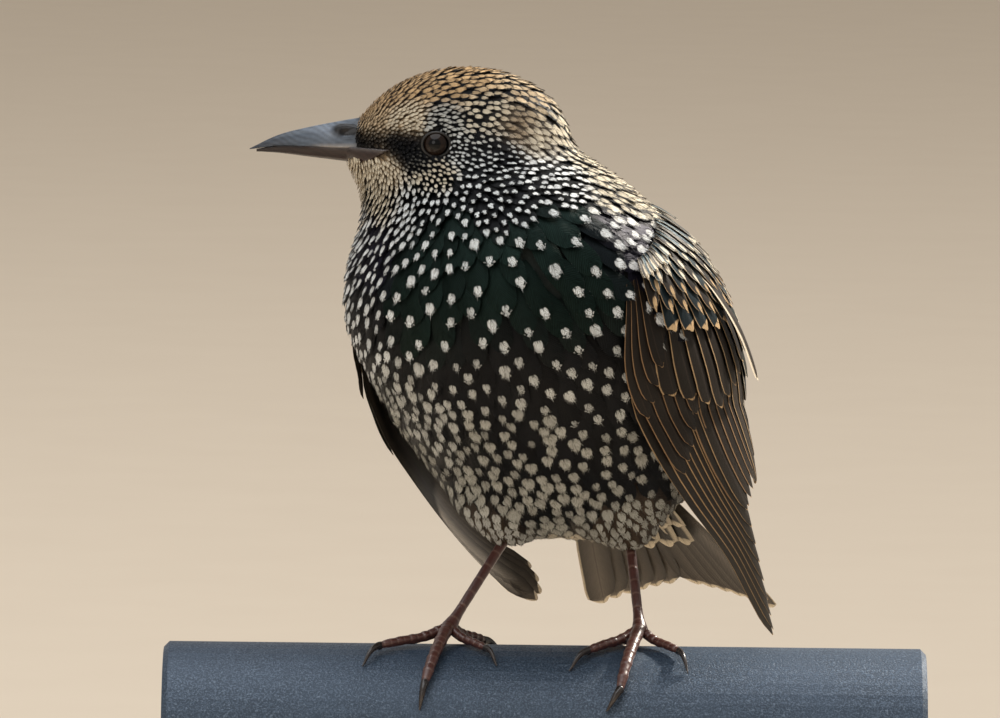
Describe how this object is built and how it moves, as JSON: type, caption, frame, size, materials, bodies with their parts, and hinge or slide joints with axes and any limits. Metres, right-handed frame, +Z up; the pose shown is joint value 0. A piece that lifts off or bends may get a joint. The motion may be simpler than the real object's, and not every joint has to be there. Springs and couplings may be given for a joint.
{
  "type": "starling",
  "caption": "Life-size starling in spotted winter plumage, gripping a short length of round rail on a flat display stand, head turned to one side.",
  "frame": {"origin": "centre of the underside of the stand's base", "axes": "+Z up; +X to the right as one faces the bird, along the rail; +Y away from someone who faces the bird's breast. The breast faces -Y and a little to +X's left, and the bill points along -X"},
  "size_m": [0.168, 0.1285, 0.1958],
  "materials": {
    "plumage": "glossy black body feathers with green and purple sheen and pale buff tips",
    "wing_feathers": "satin dark brown flight and tail feathers with narrow buff edges",
    "bill": "smooth blue-grey horn, brown below",
    "eye": "wet glossy dark brown",
    "leg": "satin reddish-brown scaled skin with dark claws",
    "rail": "finely speckled blue-grey coating",
    "rod": "satin steel rod",
    "base": "dark satin wood"
  },
  "bodies": {
    "root": {"torso": "plumage", "neck": "plumage", "head": "plumage", "thigh_left": "plumage", "thigh_right": "plumage", "wing_left": "wing_feathers", "wing_right": "wing_feathers", "tail": "wing_feathers", "bill_upper": "bill", "bill_lower": "bill", "eye_left": "eye", "eye_right": "eye", "leg_left": "leg", "leg_right": "leg", "foot_left": "leg", "foot_right": "leg", "stand_rail": "rail", "stand_rod_left": "rod", "stand_rod_right": "rod", "stand_base": "base"}
  },
  "joints": []
}
